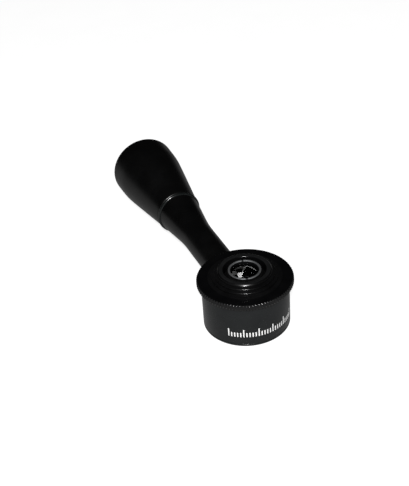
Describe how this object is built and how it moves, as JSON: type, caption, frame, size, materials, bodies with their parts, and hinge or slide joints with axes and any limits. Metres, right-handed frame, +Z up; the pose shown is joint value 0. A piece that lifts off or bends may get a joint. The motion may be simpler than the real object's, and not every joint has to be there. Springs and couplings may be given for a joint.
{
  "type": "viewing loupe",
  "caption": "Hand-held stand loupe for film: opaque drum foot, knurled focusing flange with a stepped eyepiece and a flared side handle.",
  "frame": {"origin": "centre of the drum's foot, on the optical axis and on the film plane", "axes": "+Z up along the optical axis, +Y along the handle from the drum towards the grip, +X to the right of the handle seen from above with the grip pointing away"},
  "size_m": [0.032, 0.1107, 0.0248],
  "materials": {
    "drum_black": "semi-gloss black enamel on turned metal",
    "satin_black": "satin black enamel",
    "knurled_black": "satin black over a fine straight knurl",
    "bezel_black": "worn satin black",
    "matt_black": "matt anti-glare black",
    "handle_black": "glossy black",
    "grip_black": "glossy black",
    "polished_metal": "bright turned metal",
    "coated_glass": "clear, lightly coated",
    "brass": "plain turned brass, greased",
    "bright_steel": "ground steel",
    "plated_steel": "zinc-plated steel",
    "dark_steel": "blackened steel",
    "fibre": "oiled hard fibre"
  },
  "bodies": {
    "stand": {"base_ring": "satin_black", "drum_housing": "drum_black", "guide_sleeve": "matt_black", "damping_washer": "fibre", "stop_pin": "bright_steel", "socket_nut": "plated_steel", "neck_stud": "plated_steel", "handle_neck": "handle_black", "neck_grub_screw": "dark_steel", "grip_collar": "satin_black", "grip_shell": "grip_black", "tie_rod": "plated_steel", "rod_washer": "plated_steel", "rod_nut": "plated_steel", "end_cap": "grip_black", "cap_screw": "dark_steel"},
    "focus_ring": {"focus_ring": "knurled_black", "drive_sleeve": "brass", "ring_keeper": "brass", "eyepiece_bezel": "bezel_black"},
    "lens_cell": {"lens_barrel": "matt_black", "lens_ring": "polished_metal", "eye_lens": "coated_glass", "lens_spacer": "matt_black", "field_lens": "coated_glass", "field_lens_ring": "matt_black", "drive_pin": "bright_steel", "guide_pins": "bright_steel"}
  },
  "joints": [
    {"name": "focus_turn", "type": "hinge", "parent": "stand", "child": "focus_ring", "pos_m": [0, 0, 0.0178], "axis": [0, 0, 1], "range_deg": [-60, 60]},
    {"name": "lens_travel", "type": "slide", "parent": "stand", "child": "lens_cell", "axis": [0, 0, 1], "range_m": [-0.001, 0.001]}
  ],
  "couplings": [
    {"joint": "lens_travel", "follows": "focus_turn", "m_per_rad": 0.00095493}
  ]
}
